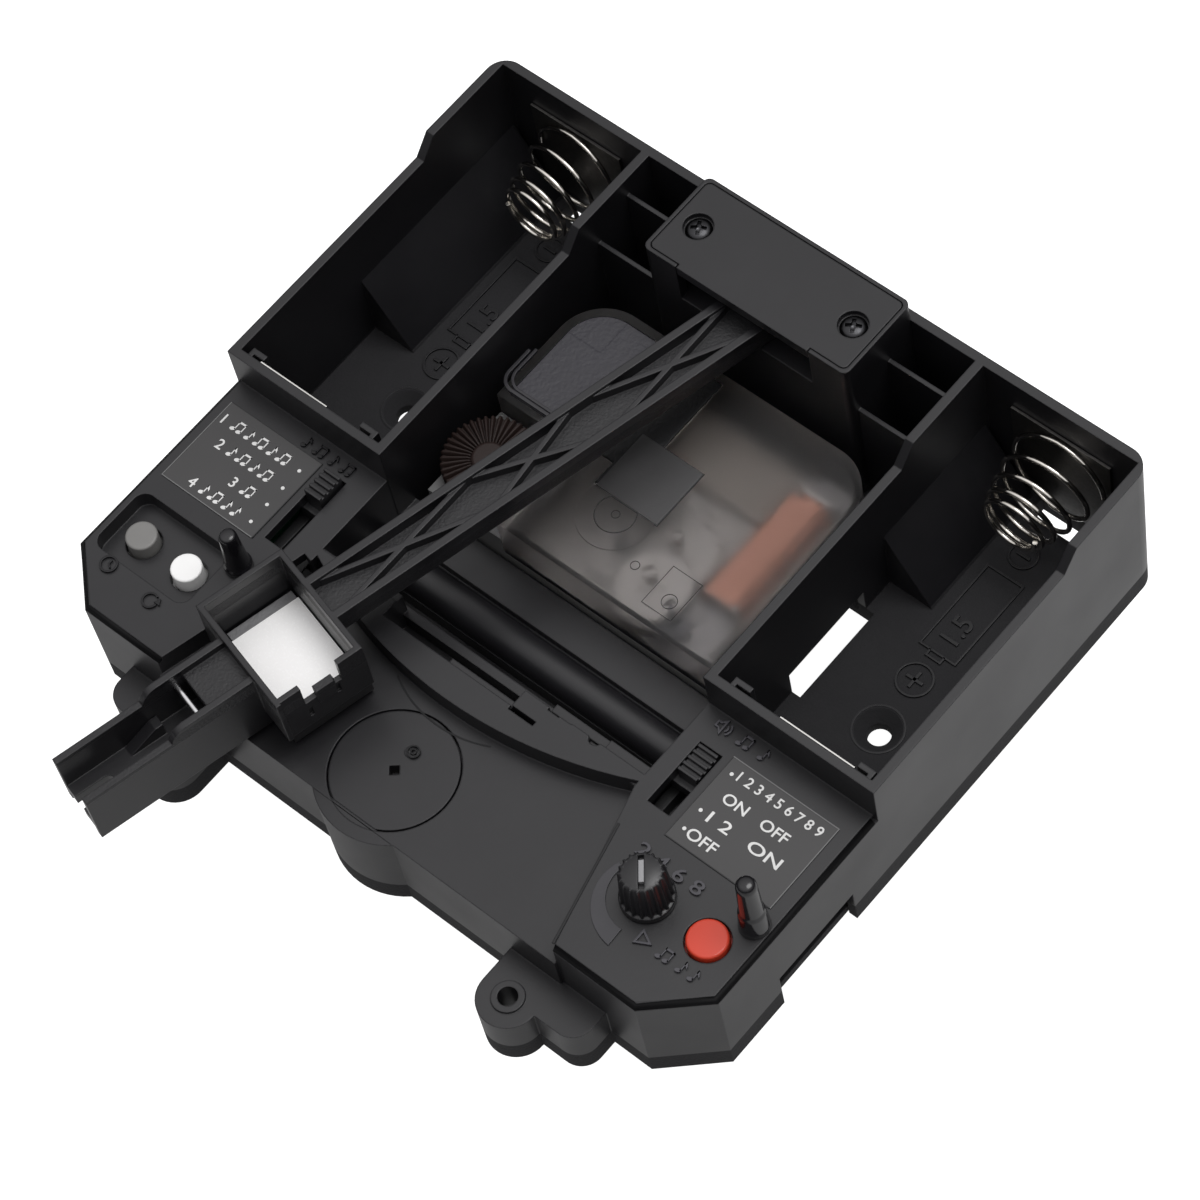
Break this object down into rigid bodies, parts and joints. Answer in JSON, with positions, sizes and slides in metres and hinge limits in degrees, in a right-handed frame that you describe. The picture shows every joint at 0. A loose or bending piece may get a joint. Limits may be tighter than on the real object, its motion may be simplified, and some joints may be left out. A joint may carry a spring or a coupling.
{
  "type": "quartz pendulum clock movement",
  "caption": "Black quartz clock movement with a swinging pendulum arm, two battery bays, a clock module under a smoky cover and chime controls.",
  "frame": {"origin": "axis of the hand shaft on the front face that seats against the dial", "axes": "+Z out of the back, towards the batteries; +Y to the top of the clock; +X to the right seen from the back"},
  "size_m": [0.124, 0.1322, 0.0496],
  "materials": {
    "black_abs": "satin",
    "steel": "brushed",
    "bright_steel": "polished",
    "nickel": "plated",
    "ferrite": "matte",
    "label": "satin",
    "grey_key": "gloss",
    "white_key": "gloss",
    "red_key": "gloss",
    "knob_black": "gloss",
    "copper": "enamelled",
    "nylon": "matte",
    "speaker_black": "matte",
    "board_green": "satin",
    "module_grey": "satin",
    "smoky": "smoky",
    "plate_black": "textured",
    "brown": "satin",
    "brass": "turned"
  },
  "bodies": {
    "case": {"case_body": "black_abs", "front_cover": "black_abs", "cover_screws": "steel", "suspension_cover": "black_abs", "lid_screws": "steel", "suspension_pin": "steel", "spring_plates": "nickel", "battery_spring_left": "nickel", "battery_spring_right": "nickel", "battery_contact_left": "nickel", "battery_contact_right": "nickel", "tune_label": "label", "sound_label": "label", "tune_switch_body": "steel", "sound_switch_body": "steel", "key_switches": "steel", "volume_control": "steel", "left_peg": "knob_black", "right_peg": "knob_black", "coil_cap": "black_abs", "drive_coil": "copper", "drive_bobbin": "nylon", "speaker": "speaker_black", "main_board": "board_green", "module_base": "module_grey", "middle_plate": "nylon", "module_cover": "smoky", "module_plate": "plate_black", "dial_bush": "brass", "stator": "steel", "motor_bobbin": "nylon", "motor_coil": "copper", "module_board": "board_green", "quartz_crystal": "bright_steel"},
    "pendulum": {"pendulum_arm": "black_abs", "pendulum_magnet": "ferrite", "magnet_plate": "bright_steel", "hook_pin": "bright_steel"},
    "tune_slider": {"tune_switch_knob": "black_abs"},
    "sound_slider": {"sound_switch_knob": "black_abs"},
    "set_button": {"set_key": "grey_key"},
    "reset_button": {"reset_key": "white_key"},
    "monitor_button": {"monitor_key": "red_key"},
    "volume": {"volume_knob": "knob_black"},
    "setter": {"setting_wheel": "brown"},
    "transfer": {"transfer_wheel": "nylon"},
    "minute": {"minute_shaft": "steel"},
    "hour": {"hour_wheel": "nylon"},
    "wheel_one": {"first_wheel": "nylon"},
    "wheel_two": {"second_wheel": "nylon"},
    "wheel_three": {"third_wheel": "nylon"},
    "wheel_centre": {"centre_wheel": "nylon"},
    "rotor_body": {"rotor": "ferrite"}
  },
  "joints": [
    {"name": "pendulum_swing", "type": "hinge", "parent": "case", "child": "pendulum", "pos_m": [0, 0.0388, 0.0298], "axis": [0, 0, 1], "range_deg": [-1, 29.4]},
    {"name": "tune_slide", "type": "slide", "parent": "case", "child": "tune_slider", "axis": [0, -1, 0], "range_m": [0, 0.0084]},
    {"name": "sound_slide", "type": "slide", "parent": "case", "child": "sound_slider", "axis": [0, -1, 0], "range_m": [0, 0.0058]},
    {"name": "set_press", "type": "slide", "parent": "case", "child": "set_button", "axis": [0, 0, -1], "range_m": [0, 0.0008], "stiffness_N_per_m": 300},
    {"name": "reset_press", "type": "slide", "parent": "case", "child": "reset_button", "axis": [0, 0, -1], "range_m": [0, 0.0008], "stiffness_N_per_m": 300},
    {"name": "monitor_press", "type": "slide", "parent": "case", "child": "monitor_button", "axis": [0, 0, -1], "range_m": [0, 0.0008], "stiffness_N_per_m": 300},
    {"name": "volume_turn", "type": "hinge", "parent": "case", "child": "volume", "pos_m": [0.0441, -0.0448, 0.022], "axis": [0, 0, 1], "range_deg": [-280, 0]},
    {"name": "setting_spin", "type": "hinge", "parent": "case", "child": "setter", "pos_m": [-0.0225, -0.0032, 0.01], "axis": [0, 0, 1], "continuous": true},
    {"name": "transfer_spin", "type": "hinge", "parent": "case", "child": "transfer", "pos_m": [-0.01085, -0.00076, 0.005], "axis": [0, 0, 1], "continuous": true},
    {"name": "minute_spin", "type": "hinge", "parent": "case", "child": "minute", "pos_m": [0, 0, 0], "axis": [0, 0, 1], "continuous": true},
    {"name": "hour_spin", "type": "hinge", "parent": "case", "child": "hour", "pos_m": [0, 0, 0], "axis": [0, 0, 1], "continuous": true},
    {"name": "first_spin", "type": "hinge", "parent": "case", "child": "wheel_one", "pos_m": [0.00966, -0.0039, 0.012], "axis": [0, 0, 1], "continuous": true},
    {"name": "rotor_spin", "type": "hinge", "parent": "case", "child": "rotor_body", "pos_m": [0.0159, -0.0066, 0.012], "axis": [0, 0, 1], "continuous": true},
    {"name": "second_spin", "type": "hinge", "parent": "case", "child": "wheel_two", "pos_m": [0.00861, 0.00302, 0.012], "axis": [0, 0, 1], "continuous": true},
    {"name": "third_spin", "type": "hinge", "parent": "case", "child": "wheel_three", "pos_m": [0.00246, 0.00677, 0.012], "axis": [0, 0, 1], "continuous": true},
    {"name": "centre_spin", "type": "hinge", "parent": "case", "child": "wheel_centre", "pos_m": [0, 0, 0.0089], "axis": [0, 0, 1], "continuous": true}
  ],
  "couplings": [
    {"joint": "transfer_spin", "follows": "setting_spin", "ratio": -0.45833},
    {"joint": "minute_spin", "follows": "setting_spin", "ratio": 1.375},
    {"joint": "hour_spin", "follows": "setting_spin", "ratio": 0.11458},
    {"joint": "first_spin", "follows": "rotor_spin", "ratio": -0.13333},
    {"joint": "second_spin", "follows": "rotor_spin", "ratio": 0.022222},
    {"joint": "third_spin", "follows": "rotor_spin", "ratio": -0.0027778},
    {"joint": "centre_spin", "follows": "rotor_spin", "ratio": 0.00055556}
  ]
}
